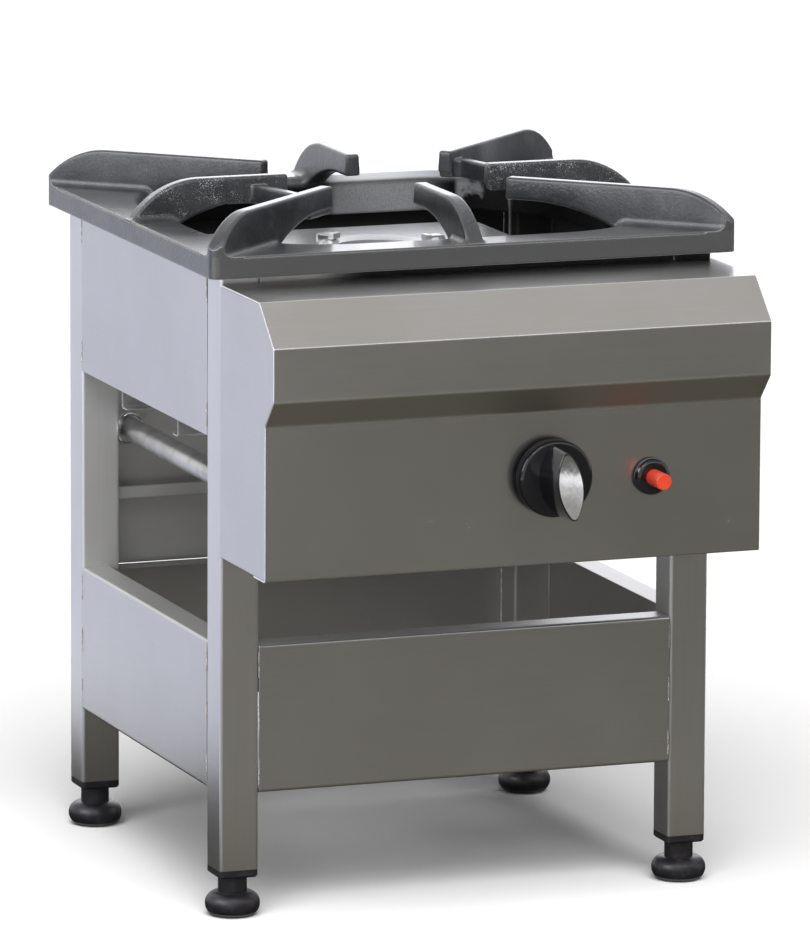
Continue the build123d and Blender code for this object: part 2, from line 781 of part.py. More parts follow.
def make_burner_plate():
    """Bright plate round the burner, on two straps that stand between the rails."""
    outline = RectangleRounded(plate_width, plate_depth, plate_corner)
    inside = RectangleRounded(plate_width - 2 * sheet, plate_depth - 2 * sheet, plate_corner - sheet)
    plate = extrude(outline, sheet)
    plate += Pos(0, 0, sheet - plate_edge) * extrude(outline - inside, plate_edge)
    at_burner = Pos(burner_x, burner_place_y, 0)
    plate = at_burner * Pos(0, 0, plate_bottom) * plate
    plate = fillet(plate.faces().sort_by(Axis.Z)[-1].outer_wire().edges(), sheet * 0.8)
    plate -= at_burner * cylinder_z(plate_hole_radius, plate_bottom - 1, plate_top + 1)
    for x, y in ((sensor_x, sensor_place_y), (electrode_x, electrode_place_y)):
        plate -= cylinder_z(probe_hole_radius, plate_bottom - 1, plate_top + 1, x, y)
    save("burner_plate", plate)

    lip = plate_top - ring_dip
    ring = revolve_profile([
        (ring_radius, plate_top),
        (ring_radius, plate_top + ring_height),
        (ring_radius - ring_edge, plate_top + ring_height),
        (ring_bore, lip),
        (ring_bore, lip - ring_collar),
        (ring_bore + ring_edge, lip - ring_collar),
        (ring_bore + ring_edge, lip - ring_edge),
        (plate_hole_radius - seam, plate_top),
    ])
    save("plate_ring", at_burner * ring)
    clip_start = ring_radius - clip_inset
    clip_end = clip_start + clip_length
    clip_low = plate_top + ring_height
    clip_top = plate_top + clip_height
    bridge = folded_section([
        (clip_start + clip_lug / 2, clip_top - clip_sheet / 2),
        (clip_end, clip_top - clip_sheet / 2),
        (clip_end, plate_top),
    ], clip_sheet)
    clip = run_along_y(bridge, -clip_width / 2, clip_width / 2)
    lug = block((clip_start, clip_start + clip_lug), (-clip_width / 2, clip_width / 2),
                (clip_low, clip_top + clip_sheet / 2))
    clip += fillet(lug.faces().sort_by(Axis.Z)[-1].edges(), clip_sheet / 2)
    turns = [clip_turn + 120 * n for n in range(3)]
    save("ring_clips", *[at_burner * Rot(0, 0, turn) * clip for turn in turns])

    half = support_width / 2 - 1.5 * sheet
    low = support_bottom + support_height - strap_overlap
    points = [
        (burner_place_y - half, low),
        (burner_place_y - half, plate_bottom - sheet / 2),
        (burner_place_y + half, plate_bottom - sheet / 2),
        (burner_place_y + half, low),
    ]
    strap = run_along_x(folded_section(points), -strap_width / 2, strap_width / 2)
    for name, side in (("left", -1), ("right", 1)):
        save(f"plate_strap_{name}", Pos(burner_x + side * strap_spread, 0, 0) * strap)


def make_probes():
    """Flame sensor and spark electrode on small brackets, with the leads that run to the front."""
    sensor_place = Pos(sensor_x, sensor_place_y, 0)
    bracket = block((-bracket_length / 2, bracket_length / 2), (-bracket_width / 2, bracket_width / 2),
                    (plate_top, plate_top + bracket_sheet))
    bracket_top = plate_top + 2 * bracket_sheet
    tip_top = plate_top + sensor_above_plate
    tip_low = tip_top - sensor_tip_height
    sensor_low = plate_bottom - sensor_below_plate
    sensor = cylinder_z(sensor_radius, sensor_low, tip_low + 1)
    sensor += revolve_profile([
        (0, tip_low),
        (sensor_radius, tip_low),
        (sensor_tip_radius, tip_low + 0.7 * sensor_tip_height),
        (sensor_radius, tip_top),
        (0, tip_top),
    ])
    save("flame_sensor", sensor_place * sensor)
    sensor_hole = cylinder_z(sensor_radius + socket_fit, plate_bottom, bracket_top)
    save("sensor_bracket", sensor_place * (bracket - sensor_hole))

    electrode_place = Pos(electrode_x, electrode_place_y, 0)
    ceramic_low = plate_bottom - electrode_ceramic_below
    ceramic_top = plate_top + electrode_ceramic_above
    ceramic = cylinder_z(electrode_ceramic_radius, ceramic_low, ceramic_top)
    ceramic = fillet(ceramic.faces().sort_by(Axis.Z)[-1].edges(), electrode_ceramic_radius / 3)
    wire = cylinder_z(electrode_wire_radius, ceramic_top - 1, ceramic_top + electrode_wire_length)
    save("spark_electrode", electrode_place * (ceramic + wire))
    ceramic_hole = cylinder_z(electrode_ceramic_radius + socket_fit, plate_bottom, bracket_top)
    save("electrode_bracket", electrode_place * (bracket - ceramic_hole))

    drop_y = leg_front + leg_width + lead_bend
    sensor_run = sensor_low - 2 * lead_bend
    sensor_end = (knob_x + valve_radius / 2, valve_back, knob_height + valve_radius / 3)
    save("sensor_lead", tube_along([
        (sensor_x, sensor_place_y, sensor_low),
        (sensor_x, sensor_place_y, sensor_run),
        (sensor_x, drop_y, sensor_run),
        (sensor_x, drop_y, sensor_end[2]),
        (sensor_end[0], drop_y, sensor_end[2]),
        sensor_end,
    ], lead_radius, lead_bend))
    spark_x = igniter_x + 3 * lead_bend
    spark_drop_y = drop_y + 2 * lead_bend
    spark_run = ceramic_low - 3 * lead_bend
    save("spark_lead", tube_along([
        (electrode_x, electrode_place_y, ceramic_low),
        (electrode_x, electrode_place_y, spark_run),
        (spark_x, electrode_place_y, spark_run),
        (spark_x, spark_drop_y, spark_run),
        (spark_x, spark_drop_y, igniter_height),
        (igniter_x, spark_drop_y, igniter_height),
        (igniter_x, panel_back + igniter_body_length, igniter_height),
    ], lead_radius, lead_bend))


def make_gas_line():
    """Rear inlet, pipe to the front, elbow, manifold, and the feed to the injector."""
    bore = pipe_radius - pipe_wall
    socket = pipe_radius + socket_fit
    stop = elbow_radius
    pipe_start = manifold_y + stop
    union_start = leg_back - sheet - union_length
    pipe_end = union_start + union_socket - seam
    pipe = cylinder_y(pipe_radius, pipe_start, pipe_end, pipe_x, pipe_height)
    pipe -= cylinder_y(bore, pipe_start - 1, pipe_end + 1, pipe_x, pipe_height)
    save("inlet_pipe", pipe)

    manifold_end = knob_x + manifold_overrun
    manifold = cylinder_x(pipe_radius, pipe_x + stop, manifold_end, manifold_y, pipe_height)
    manifold -= cylinder_x(bore, pipe_x + stop - 1, manifold_end + 1, manifold_y, pipe_height)
    manifold -= cylinder_z(valve_stub_radius + socket_fit, pipe_height, pipe_height + 2 * pipe_radius,
                           knob_x, manifold_y)
    save("manifold_pipe", manifold)

    plug = cylinder_x(manifold_plug_radius, manifold_end - manifold_plug_length,
                      manifold_end + pipe_wall, manifold_y, pipe_height)
    plug -= cylinder_x(socket, manifold_end - 2 * manifold_plug_length, manifold_end,
                       manifold_y, pipe_height)
    plug = fillet(plug.faces().sort_by(Axis.X)[-1].edges(), pipe_wall)
    save("manifold_plug", plug)

    elbow = Pos(pipe_x, manifold_y, pipe_height) * Sphere(elbow_radius)
    reach = elbow_radius + elbow_socket
    elbow += cylinder_y(elbow_radius, manifold_y, manifold_y + reach, pipe_x, pipe_height)
    elbow += cylinder_x(elbow_radius, pipe_x, pipe_x + reach, manifold_y, pipe_height)
    elbow -= cylinder_y(socket, pipe_start - seam, manifold_y + reach + 1, pipe_x, pipe_height)
    elbow -= cylinder_x(socket, pipe_x + stop - seam, pipe_x + reach + 1, manifold_y, pipe_height)
    elbow -= cylinder_y(bore, manifold_y, pipe_start, pipe_x, pipe_height)
    elbow -= cylinder_x(bore, pipe_x, pipe_x + stop, manifold_y, pipe_height)
    save("front_elbow", elbow)

    union_end = leg_back - sheet
    thread_end = leg_back + inlet_thread_length
    union = cylinder_y(union_radius, union_start, union_end, pipe_x, pipe_height)
    union = fillet(union.faces().sort_by(Axis.Y)[0].edges(), union_round)
    union += cylinder_y(inlet_thread_radius, union_end - 1, thread_end, pipe_x, pipe_height)
    relief_start = leg_back + locknut_thickness + seam
    relief = cylinder_y(2 * inlet_thread_radius, relief_start, relief_start + inlet_relief,
                        pipe_x, pipe_height)
    union -= relief - cylinder_y(inlet_thread_radius - inlet_relief_depth, relief_start - 1,
                                 relief_start + inlet_relief + 1, pipe_x, pipe_height)
    union -= cylinder_y(socket, union_start - 1, union_start + union_socket, pipe_x, pipe_height)
    union -= cylinder_y(bore, union_start, thread_end + 1, pipe_x, pipe_height)
    save("inlet_union", union)

    nut = extrude(RegularPolygon(locknut_across / 2, 6, major_radius=False), locknut_thickness)
    nut -= extrude(Circle(inlet_thread_radius + socket_fit), locknut_thickness)
    nut = Pos(pipe_x, leg_back + locknut_thickness, pipe_height) * Rot(90, 0, 0) * nut
    save("inlet_locknut", nut)

    hang = frame_top - sheet - bend - injector_bracket_drop
    bracket = block((burner_x - injector_bracket_width / 2, burner_x + injector_bracket_width / 2),
                    (leg_front + sheet, injector_front), (hang, frame_top - 2 * sheet - bend))
    save("injector_bracket", bracket)
    holder = block((burner_x - injector_block / 2, burner_x + injector_block / 2),
                   (injector_front, injector_back),
                   (mixing_tube_z - injector_block / 2, mixing_tube_z + injector_block / 2))
    holder = fillet(holder.edges().filter_by(Axis.Y), injector_block / 8)
    save("injector_holder", holder)
    hexagon = extrude(RegularPolygon(injector_hex_across / 2, 6, major_radius=False), injector_hex_length)
    hexagon = Pos(burner_x, injector_back + injector_hex_length, mixing_tube_z) * Rot(90, 0, 0) * hexagon
    jet_end = injector_back + injector_hex_length + injector_length
    jet = cylinder_y(injector_radius, injector_back + injector_hex_length - 1, jet_end,
                     burner_x, mixing_tube_z)
    jet = chamfer(jet.faces().sort_by(Axis.Y)[-1].edges(), injector_radius / 2)
    save("injector", hexagon + jet)

    feed_start = valve_outlet_end + feed_nut_length / 2
    feed_stop = mixing_tube_z - injector_block / 2 - feed_nut_length / 2
    bend_z = (knob_height + feed_stop) / 2
    save("feed_tube", tube_along([
        (knob_x, feed_start, knob_height),
        (knob_x, feed_y, knob_height),
        (burner_x, feed_y, bend_z),
        (burner_x, feed_y, feed_stop),
    ], feed_radius, feed_bend))
    nut = extrude(RegularPolygon(feed_nut_across / 2, 6, major_radius=False), feed_nut_length)
    hole = feed_nut_length / 2
    nut -= extrude(Circle(feed_radius + socket_fit), hole)
    front_nut = Pos(knob_x, valve_outlet_end + feed_nut_length, knob_height) * Rot(90, 0, 0) * nut
    top_nut = Pos(burner_x, feed_y, mixing_tube_z - injector_block / 2 - feed_nut_length) * nut
    save("feed_nuts", front_nut, top_nut)


def make_valve():
    """Gas tap on the manifold, with the inner rod that the knob pushes."""
    valve = cylinder_y(valve_radius, valve_front, valve_back, knob_x, knob_height)
    valve = fillet(valve.edges().filter_by(GeomType.CIRCLE), valve_radius / 8)
    valve += cylinder_y(valve_collar_radius, panel_back, valve_front + 1, knob_x, knob_height)
    valve += cylinder_y(valve_outlet_radius, valve_back - 1, valve_outlet_end, knob_x, knob_height)
    pipe_top = pipe_height + pipe_radius
    valve += cylinder_z(valve_collar_radius, pipe_top + seam, knob_height, knob_x, manifold_y)
    valve += cylinder_z(valve_stub_radius, pipe_top - valve_stub_depth, pipe_top + 1, knob_x, manifold_y)
    rod_end = spindle_back + push_rod_length + knob_push
    valve -= cylinder_y(spindle_radius + running_fit, panel_back - 1, spindle_back + knob_push + seam,
                        knob_x, knob_height)
    valve -= cylinder_y(push_rod_radius + running_fit, spindle_back, rod_end + seam, knob_x, knob_height)
    save("gas_valve", valve)
    save("valve_push_rod", cylinder_y(push_rod_radius, spindle_back, spindle_back + push_rod_length,
                                      knob_x, knob_height))
    spindle_front = knob_skirt_front - knob_socket_depth + knob_skirt
    spindle = cylinder_y(spindle_radius, spindle_front, spindle_back, knob_x, knob_height)
    flat_z = knob_height + spindle_radius - spindle_flat
    spindle -= block((knob_x - spindle_radius, knob_x + spindle_radius), (spindle_front - 1, knob_skirt_back),
                     (flat_z, flat_z + spindle_radius))
    save("valve_spindle", spindle)


def grip_outline(width, height):
    """A lens outline for the grip, from two arcs with rounded points, as it stands when shut."""
    right = ThreePointArc((0, height / 2), (width / 2, 0), (0, -height / 2))
    left = ThreePointArc((0, -height / 2), (-width / 2, 0), (0, height / 2))
    lens = fillet(make_face(right + left).vertices(), knob_grip_point)
    return Rot(0, 0, knob_rest_turn) * Pos(0, -knob_grip_drop) * lens


def front_plane(y):
    """A plane facing the user at depth y."""
    return Plane((0, y, 0), x_dir=(1, 0, 0), z_dir=(0, -1, 0))


def make_knob():
    """Round skirt, flared grip with a bright insert, and the hole for the spindle."""
    place = Pos(knob_x, 0, knob_height)
    skirt = cylinder_y(knob_skirt_radius, knob_skirt_front, knob_skirt_back)
    skirt = fillet(skirt.faces().sort_by(Axis.Y)[0].edges(), knob_skirt_round)
    face = front_plane(knob_grip_front)
    tip = face * grip_outline(knob_grip_width, knob_grip_height)
    root_y = knob_skirt_front + knob_skirt / 2
    root = front_plane(root_y) * grip_outline(knob_grip_foot_width, knob_grip_foot_height)
    grip = loft([root, tip])
    grip = fillet(grip.faces().sort_by(Axis.Y)[0].edges(), knob_grip_round)
    knob = skirt + grip
    insert_width = knob_grip_width - 2 * insert_margin
    insert_height = knob_grip_height - 2 * insert_margin
    knob -= extrude(face * grip_outline(insert_width + 2 * socket_fit, insert_height + 2 * socket_fit),
                    amount=-insert_depth)
    spindle_front = knob_skirt_front - knob_socket_depth + knob_skirt
    bore = cylinder_y(spindle_radius + socket_fit, spindle_front - seam, knob_skirt_back + 1)
    flat_z = spindle_radius - spindle_flat + socket_fit
    bore -= block((-2 * spindle_radius, 2 * spindle_radius), (spindle_front - 1, knob_skirt_back + 2),
                  (flat_z, flat_z + spindle_radius))
    save("knob", place * (knob - bore))
    badge = grip_outline(insert_width, insert_height)
    insert = extrude(face * badge, amount=-insert_depth) + extrude(face * badge, amount=insert_proud)
    save("knob_insert", place * insert)


def make_igniter():
    """Push-button piezo igniter through the front panel."""
    place = Pos(igniter_x, 0, igniter_height)
    bezel = cylinder_y(igniter_bezel_radius, bezel_front, panel_face)
    bezel = fillet(bezel.faces().sort_by(Axis.Y)[0].edges(), igniter_bezel_round)
    body_end = panel_back + igniter_body_length
    body = bezel + cylinder_y(igniter_body_radius, panel_face - 1, body_end)
    shaft_end = panel_back + igniter_button_inside
    body -= cylinder_y(igniter_button_radius + running_fit, bezel_front - 1, shaft_end + igniter_push + seam)
    save("igniter_body", place * body)
    nut = extrude(RegularPolygon(igniter_nut_across / 2, 6, major_radius=False), igniter_nut)
    nut -= extrude(Circle(igniter_body_radius + socket_fit), igniter_nut)
    nut = Pos(0, panel_back + igniter_nut, 0) * Rot(90, 0, 0) * nut
    save("igniter_nut", place * nut)
    button = cylinder_y(igniter_button_radius, bezel_front - igniter_button_reach, shaft_end)
    button = fillet(button.faces().sort_by(Axis.Y)[0].edges(), igniter_button_round)
    save("igniter_button", place * button)


make_legs()
make_feet()
make_aprons()
make_upper_skins()
make_control_box()
make_pan_support()
make_burner()
make_burner_support()
make_burner_plate()
make_probes()
make_gas_line()
make_valve()
make_knob()
make_igniter()
print("overall", pan_width, knob_reach + rear_reach, fin_top)
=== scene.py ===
from math import cos, pi, radians, sin

import bpy
from mathutils import Matrix, Vector


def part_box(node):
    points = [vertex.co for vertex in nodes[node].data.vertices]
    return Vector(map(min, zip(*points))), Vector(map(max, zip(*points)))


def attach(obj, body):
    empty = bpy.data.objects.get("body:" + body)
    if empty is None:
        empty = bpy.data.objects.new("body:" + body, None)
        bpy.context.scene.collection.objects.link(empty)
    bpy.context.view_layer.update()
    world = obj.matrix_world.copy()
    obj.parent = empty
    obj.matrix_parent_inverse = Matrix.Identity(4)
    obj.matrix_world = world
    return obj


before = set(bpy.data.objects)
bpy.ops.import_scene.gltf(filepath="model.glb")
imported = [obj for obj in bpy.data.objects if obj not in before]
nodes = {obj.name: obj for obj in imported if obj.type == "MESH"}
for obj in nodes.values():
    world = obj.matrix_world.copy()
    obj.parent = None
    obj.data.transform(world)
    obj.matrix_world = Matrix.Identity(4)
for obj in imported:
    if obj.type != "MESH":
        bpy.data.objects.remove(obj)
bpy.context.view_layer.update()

# Camera, fitted to the legs and the control box in the photograph
camera_place = Vector((-2.2521, -6.0280, 1.4970))
camera_yaw = radians(20.431)
camera_pitch = radians(10.518)
camera_roll = radians(0.279)
camera_lens = 333.46

# The stage: shades and lights at which a white card and the open floor come out white, and the heights
# of the cards over the floor
card_shade = 0.90
floor_shade = 1.0
floor_lift = 0.01
card_level = 0.003
shade_level = 0.004
world_fill = 0.08
key_spread = radians(58.0)
key_height = radians(52.0)

# Welds: short runs of flattened beads where the sheets meet the legs
weld_pitch = 0.0008
weld_width = 0.0006
weld_run = 0.018
weld_inset = 0.006
weld_seed = 7

# Height of the pan support's rim above the tops of the legs, and its width
pan_rim = 0.016
pan_rim_width = 0.037

# Patches across the pan support, each from its start and full place to its fading and end: two patches
# of painted light on the inner wall, and a painted sheen on the rear edge
wide_lit_patch = (0.006, 0.018, 0.075, 0.110)
small_lit_patch = (0.110, 0.114, 0.128, 0.132)
sheen_patch = (0.0, 0.02, 0.055, 0.15)

# The fins' sides are crowned about this height above the rim
fin_middle = 0.022
fin_crown = 38000.0

# Height of the hood above the crease of the control box, and of the slope under it
hood_height = 0.0885
hood_slope = 0.0195

# Depths of the knob's skirt and of the igniter's bezel
knob_skirt = 0.0095
igniter_bezel = 0.004

# Depth of the stand's outer skin, which keeps its own colour, and the heights between which soot and
# painted shade blacken the rest
stand_skin = 0.0008
soot_and_shade_low = 0.39
soot_and_shade_high = 0.43

# Painted shadow on the rail and the legs under the front of the pan support: it grows rightwards and
# upwards
rim_shadow_start = -0.125
rim_shadow_full = -0.075
rim_shadow_low = 0.448
rim_shadow_high = 0.456

# Full seams on the front rail and the sheets at the back: longest run, depth under the face, places
# of their two rows beyond the sheet's edge
full_seam = 0.106
seam_depth = 0.001
seam_rows = (0.0006, 0.0014)

# Threads on the feet and the gas inlet
foot_thread_pitch = 0.0015
foot_thread_radius = 0.0049
inlet_thread_pitch = 0.0018
inlet_thread_radius = 0.0102
thread_ridge = 0.0005
thread_steps = 28
thread_end = 0.001


class Value:
    """A socket that can be used in sums: an expression adds its Math nodes."""

    def __init__(self, tree, socket):
        self.tree = tree
        self.socket = socket

    def maths(self, operation, *operands):
        return self.tree.node("ShaderNodeMath", {"operation": operation}, dict(enumerate(operands)))

    def __add__(self, other):
        return self.maths("ADD", self, other)

    def __sub__(self, other):
        return self.maths("SUBTRACT", self, other)

    def __rsub__(self, other):
        return self.maths("SUBTRACT", other, self)

    def __mul__(self, other):
        return self.maths("MULTIPLY", self, other)

    def __truediv__(self, other):
        return self.maths("DIVIDE", self, other)

    __radd__ = __add__
    __rmul__ = __mul__

    def size(self):
        return self.maths("ABSOLUTE", self)

    def above(self, limit):
        return self.maths("GREATER_THAN", self, limit)

    def most(self, other):
        return self.maths("MAXIMUM", self, other)

    def least(self, other):
        return self.maths("MINIMUM", self, other)

    def ramp(self, low, high):
        """0 at low, 1 at high, smooth between."""
        sockets = {"Value": self, "From Min": low, "From Max": high}
        return self.tree.node("ShaderNodeMapRange", {"interpolation_type": "SMOOTHSTEP"}, sockets)

    def patch(self, start, full, fade, end):
        """1 between full and fade, 0 outside start and end."""
        return self.ramp(start, full) * (1 - self.ramp(fade, end))


class Tree:
    """A node tree, and the one method that adds a node to it."""

    def __init__(self, tree):
        self.tree = tree

    def node(self, kind, settings=None, sockets=None, output=0):
        """Adds a node: its settings first, then the values or links of its sockets."""
        made = self.tree.nodes.new(kind)
        for name, setting in (settings or {}).items():
            setattr(made, name, setting)
        for name, value in (sockets or {}).items():
            self.feed(made.inputs[name], value)
        return Value(self, made.outputs[output]) if made.outputs else None

    def feed(self, socket, value):
        if isinstance(value, Value):
            self.tree.links.new(value.socket, socket)
        else:
            socket.default_value = value


class Finish(Tree):
    """One procedural material on a Principled shader."""

    def __init__(self, name, **constants):
        self.material = bpy.data.materials.new(name)
        self.material.use_nodes = True
        super().__init__(self.material.node_tree)
        self.shader = self.tree.nodes["Principled BSDF"]
        for socket, value in constants.items():
            self.shader.inputs[socket.replace("_", " ")].default_value = value
        self.place = self.node("ShaderNodeTexCoord", output="Object")

    def along(self, axis):
        return self.node("ShaderNodeSeparateXYZ", sockets={0: self.place}, output=axis)

    def noise(self, scale, detail=2.0, roughness=0.5):
        """Noise with so many features to the metre along each axis."""
        stretched = self.node("ShaderNodeMapping", sockets={"Vector": self.place, "Scale": scale})
        sockets = {"Vector": stretched, "Scale": 1.0, "Detail": detail, "Roughness": roughness}
        return self.node("ShaderNodeTexNoise", sockets=sockets)

    def grains(self, scale):
        """Rounded cells, 0 in the middle of each."""
        sockets = {"Vector": self.place, "Scale": scale, "Smoothness": 0.5}
        return self.node("ShaderNodeTexVoronoi", {"feature": "SMOOTH_F1"}, sockets)

    def mix(self, factor, first, second):
        return self.node("ShaderNodeMix", {"data_type": "RGBA"}, {0: factor, 6: first, 7: second}, 2)

    def edges(self, radius):
        """0 on flat faces, more towards edges and corners."""
        true = self.node("ShaderNodeNewGeometry", output="Normal")
        sockets = {0: self.rounded(radius), 1: true}
        return 1 - self.node("ShaderNodeVectorMath", {"operation": "DOT_PRODUCT"}, sockets, "Value")

    def rounded(self, radius):
        """A normal that turns over the sharp edges, so that they catch the light."""
        return self.node("ShaderNodeBevel", {"samples": 6}, {"Radius": radius})

    def bump(self, height, depth, strength=1.0, over=None):
        sockets = {"Height": height, "Distance": depth, "Strength": strength}
        if over:
            sockets["Normal"] = over
        return self.node("ShaderNodeBump", sockets=sockets)

    def inside_stand(self):
        """1 deeper in the stand than its outer faces, 0 on them."""
        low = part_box("leg_front_left")[0]
        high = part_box("leg_rear_right")[1]
        middle = (low + high) / 2
        half = (high - low) / 2
        out_x = (self.along("X") - middle.x).size() - half.x
        out_y = (self.along("Y") - middle.y).size() - half.y
        return 1 - out_x.most(out_y).above(-stand_skin)

    def set(self, **links):
        """Feeds what changes over the surface to the shader."""
        for socket, value in links.items():
            self.feed(self.shader.inputs[socket.replace("_", " ")], value)
        return self.material


def grey(level, warm=0.0):
    """A grey, tinted towards yellow for warm above 0 and towards blue below it."""
    return (level * (1 + warm), level, level * (1 - 2 * warm), 1.0)


def even(scale):
    return (scale, scale, scale)


def satin_steel(name, grain_axis, base, gloss, tint=0.0, metal=1.0, with_soot_and_shade=False, box=None):
    """Satin stainless: fine grain along one axis, faint cloudy patches.

    Sheet with soot and painted shade is black inside the stand, and carries a painted shadow under the
    front of the pan support. A folded box has cut ends painted bright as a highlight, a hazy hood, and a
    dull slope under it painted darker as shade.
    """
    finish = Finish(name)
    apron_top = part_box("apron_left")[1].z
    fine_scale = [1600.0, 1600.0, 1600.0]
    fine_scale[grain_axis] = 9.0
    fine = finish.noise(fine_scale, 3.0, 0.7)
    cloud = finish.noise(even(7.0), 4.0, 0.6)
    rubbed = finish.noise(even(16.0), 6.0, 0.65).ramp(0.56, 0.75)
    tone = 0.4 * fine + 0.6 * cloud
    colour = finish.mix(tone.ramp(0.3, 0.7), grey(base * 0.95, tint + 0.005), grey(base * 1.05, tint))
    roughness = gloss + 0.05 * fine + 0.04 * cloud + 0.04 * rubbed - 0.05
    if with_soot_and_shade:
        height = finish.along("Z")
        inside = finish.inside_stand()
        front = finish.along("Y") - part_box("leg_front_left")[0].y
        # Painted shadow under the front of the pan support, on the front faces of the rail and the legs
        rim_shadow = finish.along("X").ramp(rim_shadow_start, rim_shadow_full) * height.ramp(rim_shadow_low, rim_shadow_high)
        # Soot and painted shade: the inner faces go nearly black above a height, joined by the painted
        # shadow
        soot_and_painted_shade = (inside * height.ramp(soot_and_shade_low, soot_and_shade_high)).most(rim_shadow * (1 - front.ramp(0.0005, 0.001)))
        dull = inside * height.ramp(apron_top - 0.004, apron_top)
        colour = finish.mix(soot_and_painted_shade, colour, grey(0.022, 0.01))
        roughness = roughness + 0.3 * soot_and_painted_shade + 0.12 * dull
        metal = (1.0 - 0.28 * dull).least(1.0 - 0.9 * soot_and_painted_shade)
    if box:
        low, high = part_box(box)
        beyond = (finish.along("X") - (low.x + high.x) / 2).size() - (high.x - low.x) / 2
        # Painted highlight: the box's cut ends are made nearly white
        colour = finish.mix(beyond.above(-0.0002), colour, grey(0.97))
        crease = high.z - hood_height
        over = finish.along("Z") - crease
        hood = over.ramp(-0.002, 0.002)
        shaded_dull_slope = hood * (1 - over.ramp(hood_slope, hood_slope + 0.003))
        # Painted shade: the slope under the hood is made darker and warmer; it is also rougher
        colour = finish.mix(shaded_dull_slope, colour, grey(0.36, 0.06))
        roughness = roughness + 0.05 * hood + 0.23 * shaded_dull_slope
    return finish.set(Base_Color=colour, Roughness=roughness, Metallic=metal,
                      Normal=finish.bump(fine, 0.000008, 1.0, finish.rounded(0.0007)))


def cast_pan(name):
    """Black enamelled casting: glossy skin and worn fin edges, with painted light: highlights on the worn
    edges, glints on the fins, a sheen on the rear edge, a lighter front face, and an inner wall painted
    black as shade but for two lit grey patches.
    """
    finish = Finish(name, IOR=1.46, Coat_Roughness=0.16)
    low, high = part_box("pan_support")
    middle = (low + high) / 2
    half = (high - low) / 2
    rim_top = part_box("leg_front_left")[1].z + pan_rim
    across = finish.along("X")
    back = finish.along("Y")
    height = finish.along("Z")
    deep_x = half.x - (across - middle.x).size()
    deep_y = half.y - (back - middle.y).size()
    at_rear = back.above(0.0)
    grit = finish.noise(even(1300.0), 3.0, 0.6)
    cloud = finish.noise(even(18.0), 4.0, 0.6)
    blotch = finish.noise(even(48.0), 3.0, 0.6)
    pebbles = finish.grains(430.0)
    below_rim = 1 - height.ramp(rim_top - 0.010, rim_top - 0.004)
    wall = deep_x.least(deep_y).above(pan_rim_width - 0.008) * below_rim
    # Painted light on the inner wall: two lit grey patches, the rest of the wall painted black as shade
    spotted_light = across.patch(*small_lit_patch) * blotch.ramp(0.40, 0.56) * at_rear
    lit_wall = across.patch(*wide_lit_patch).most(spotted_light)
    # Worn fin edges in bright metal, which also stand in as painted highlights along them
    worn_and_highlit = (finish.edges(0.0014) * (0.5 + cloud)).ramp(0.03, 0.16) * (1 - wall)
    cross_fin = 1 - (back - middle.y).size().ramp(0.008, 0.014)
    on_fin = height.ramp(rim_top - 0.002, rim_top + 0.002)
    # Painted glints: white flecks on the fins, most on the cross fin, spread in patches
    glint_spread = 0.25 + blotch.ramp(0.42, 0.62)
    painted_glint = (grit + 0.03 * cross_fin).ramp(0.60, 0.68) * (0.2 + 0.8 * cross_fin) * on_fin * glint_spread
    skin = finish.mix(cloud.ramp(0.35, 0.7), grey(0.028, -0.05), grey(0.060, -0.04))
    mottled = finish.mix(0.5 * blotch.ramp(0.5, 0.72), skin, grey(0.085, -0.05))
    lit_wall_grey = finish.mix(grit.ramp(0.35, 0.65), grey(0.17, -0.02), grey(0.27, -0.02))
    # The inner wall: painted shade, nearly black, with the painted lit patches in grey
    wall_light_and_shade = finish.mix(lit_wall, grey(0.014), lit_wall_grey)
    # Painted sheen: pale grey along the inner edge of the rear rim
    rear_edge = deep_y.patch(0.022, 0.028, 0.08, 0.10) * at_rear
    polish_and_painted_sheen = rear_edge * across.patch(*sheen_patch) * height.ramp(rim_top - 0.006, rim_top - 0.003)
    # Painted light: the rim's front face is made lighter than the rest of the skin
    front_face = 1 - (back - low.y).ramp(0.002, 0.004)
    front_lit = finish.mix(front_face, mottled, grey(0.070, -0.01))
    enamel = finish.mix(wall, finish.mix(polish_and_painted_sheen, front_lit, grey(0.50, -0.03)), wall_light_and_shade)
    colour = finish.mix((0.75 * worn_and_highlit).most(0.8 * painted_glint), enamel, grey(0.62, -0.01))
    roughness = 0.24 + 0.10 * cloud + 0.2 * wall
    fin_up = (height - rim_top).most(0.0) - fin_middle
    relief = (1 - pebbles) * 0.8 + 0.4 * grit + 4.0 * cloud - fin_crown * fin_up * fin_up
    metal = (0.7 * worn_and_highlit).most(wall * (1 - lit_wall))
    return finish.set(Base_Color=colour, Metallic=metal, Roughness=roughness,
                      Coat_Weight=0.45 * (1 - worn_and_highlit) * (1 - wall),
                      Normal=finish.bump(relief, 0.00020, 0.8, finish.rounded(0.003)))


def burner_iron(name):
    """Bare casting browned by heat."""
    finish = Finish(name, Metallic=0.7)
    grit = finish.noise(even(700.0), 4.0, 0.65)
    burn = finish.noise(even(45.0), 3.0)
    colour = finish.mix(burn.ramp(0.35, 0.65), (0.10, 0.078, 0.064, 1.0), (0.19, 0.155, 0.13, 1.0))
    return finish.set(Base_Color=colour, Roughness=0.48 + 0.2 * grit, Normal=finish.bump(grit, 0.0003, 0.7))


